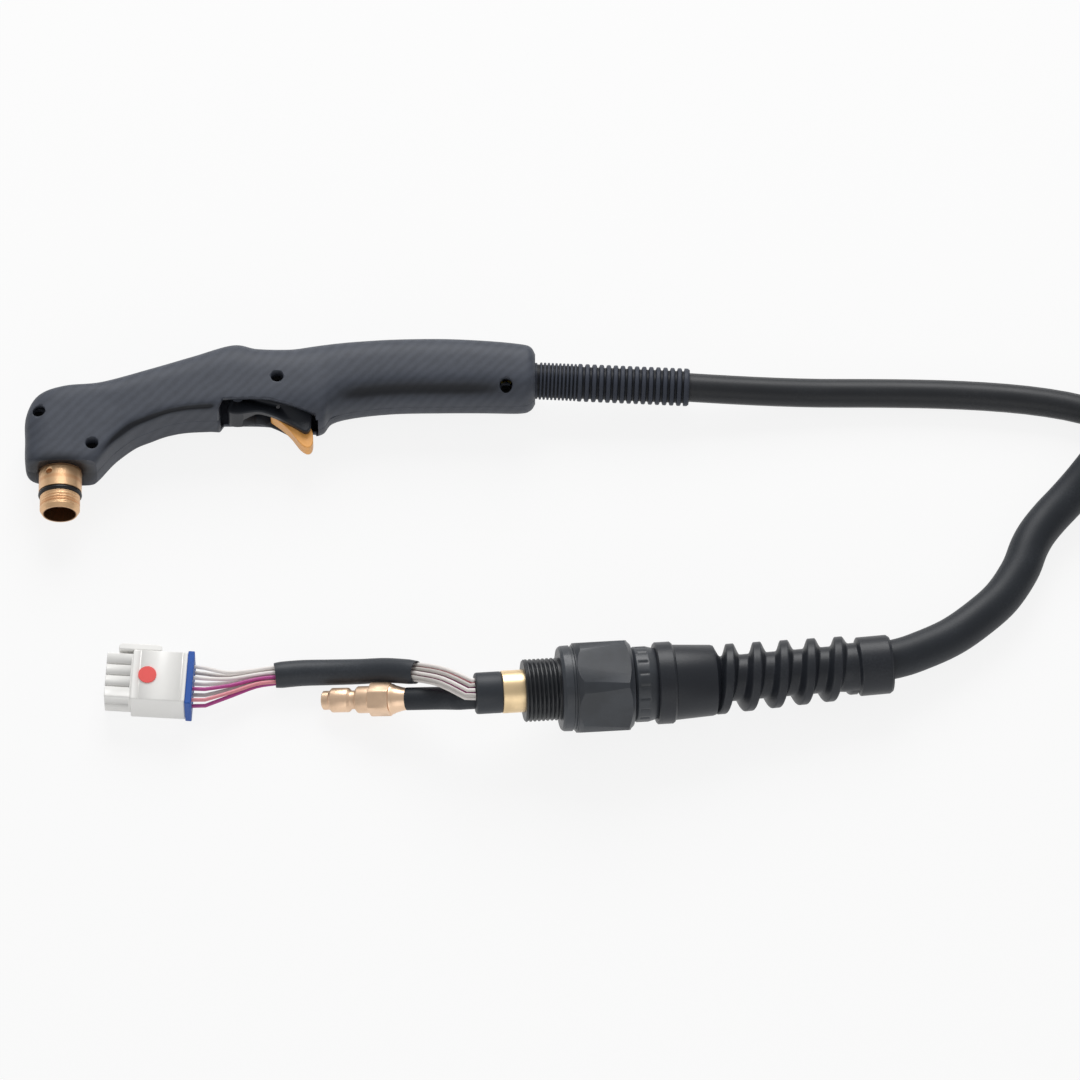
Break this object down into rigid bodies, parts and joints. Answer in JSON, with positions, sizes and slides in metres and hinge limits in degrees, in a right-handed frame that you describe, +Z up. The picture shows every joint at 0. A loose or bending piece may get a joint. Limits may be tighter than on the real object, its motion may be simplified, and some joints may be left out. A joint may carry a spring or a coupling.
{
  "type": "welding_torch",
  "caption": "Hand torch with brass head seat, trigger and orange safety lever, long coiled lead, ribbed machine gland with lock nut, gas plug and control plug",
  "frame": {"origin": "middle of the underside of the box round the torch itself (handle, head, trigger), on the plane it lies on; the lead, gland and plugs are left out of the box", "axes": "+X along the handle towards the lead, +Y from the nozzle side to the back of the handle, +Z up from the table, across the handle"},
  "size_m": [0.8395, 0.3046, 0.0485],
  "materials": {
    "shell_plastic": "moulded glass-filled nylon, fine texture",
    "trigger_plastic": "satin moulded nylon",
    "orange_plastic": "smooth moulded",
    "black_plastic": "satin moulded",
    "insulator_plastic": "moulded high temperature plastic",
    "white_plastic": "semi-gloss moulded nylon",
    "dot_plastic": "pad printed label dot",
    "button_plastic": "moulded",
    "brass": "turned, light machining lines",
    "copper": "turned copper, slightly dull",
    "steel": "ground",
    "black_steel": "blackened",
    "black_rubber": "matt, faint moulding texture",
    "lead_jacket": "smooth matt jacket",
    "seal_rubber": "smooth silicone",
    "o_ring_rubber": "greased",
    "strap_fabric": "woven hook and loop strap",
    "wire_white": "extruded insulation",
    "wire_grey": "extruded insulation",
    "wire_violet": "extruded insulation",
    "wire_pink": "extruded insulation",
    "wire_red": "extruded insulation",
    "wire_yellow": "extruded insulation"
  },
  "bodies": {
    "handle": {"handle_shell_upper": "shell_plastic", "handle_shell_lower": "shell_plastic", "handle_screws": "black_steel", "head_insulator": "insulator_plastic", "head_seat": "brass", "head_o_ring": "o_ring_rubber", "cathode": "copper", "plunger_spring": "steel", "cap_switch": "black_plastic", "gas_tube": "copper", "pilot_wire": "wire_red", "trigger_pin": "steel", "trigger_spring": "steel", "start_switch": "black_plastic", "switch_wires": "wire_yellow", "wire_crimps": "steel", "front_boot": "black_rubber", "lead_torch_run": "lead_jacket", "lead_coil": "lead_jacket", "lead_machine_run": "lead_jacket", "lead_ties": "strap_fabric", "lead_sleeve": "black_rubber", "rear_boot": "black_rubber", "boot_ring": "black_plastic", "gland_collar": "black_plastic", "gland_washer": "o_ring_rubber", "entry_tube": "brass", "bundle_sleeve": "black_rubber", "gas_hose": "black_rubber", "hose_barb": "brass", "gas_plug": "brass", "wires_white": "wire_white", "wires_grey": "wire_grey", "wires_violet": "wire_violet", "wire_pink": "wire_pink", "wire_sleeve": "black_rubber", "plug_housing": "white_plastic", "plug_key": "white_plastic", "plug_seal": "seal_rubber", "plug_contacts": "brass", "plug_dot": "dot_plastic"},
    "trigger": {"trigger": "trigger_plastic", "lever_pin": "steel", "lever_spring": "steel"},
    "safety_lever": {"safety_lever": "orange_plastic"},
    "switch_button": {"switch_plunger": "button_plastic"},
    "contact_plunger": {"contact_plunger": "brass"},
    "cap_plunger": {"cap_plunger": "white_plastic"},
    "lock_nut": {"lock_nut": "black_plastic"}
  },
  "joints": [
    {"name": "trigger_hinge", "type": "hinge", "parent": "handle", "child": "trigger", "pos_m": [-0.0215, 0.0145, 0.0165], "axis": [0, 0, 1], "range_deg": [0, 7], "stiffness_Nm_per_rad": 0.35, "springref_deg": -5.73, "deforming": ["trigger_spring"]},
    {"name": "safety_lever_hinge", "type": "hinge", "parent": "trigger", "child": "safety_lever", "pos_m": [-0.0015, 0.009, 0.0165], "axis": [0, 0, 1], "range_deg": [-30, 0], "stiffness_Nm_per_rad": 0.02, "springref_deg": 8.59, "deforming": ["lever_spring"]},
    {"name": "switch_button_slide", "type": "slide", "parent": "handle", "child": "switch_button", "axis": [0, 1, 0], "range_m": [0, 0.00375]},
    {"name": "contact_plunger_slide", "type": "slide", "parent": "handle", "child": "contact_plunger", "axis": [0, 1, 0], "range_m": [0, 0.003], "stiffness_N_per_m": 400, "springref_m": -0.001, "deforming": ["plunger_spring"]},
    {"name": "cap_plunger_slide", "type": "slide", "parent": "handle", "child": "cap_plunger", "axis": [0, 1, 0], "range_m": [0, 0.0015], "stiffness_N_per_m": 300, "springref_m": -0.001},
    {"name": "lock_nut_turn", "type": "hinge", "parent": "handle", "child": "lock_nut", "pos_m": [0.1583, -0.1452, 0.0254], "axis": [0.9916, 0.1016, -0.0795], "continuous": true}
  ],
  "couplings": [
    {"joint": "switch_button_slide", "follows": "trigger_hinge", "m_per_rad": 0.0307}
  ]
}
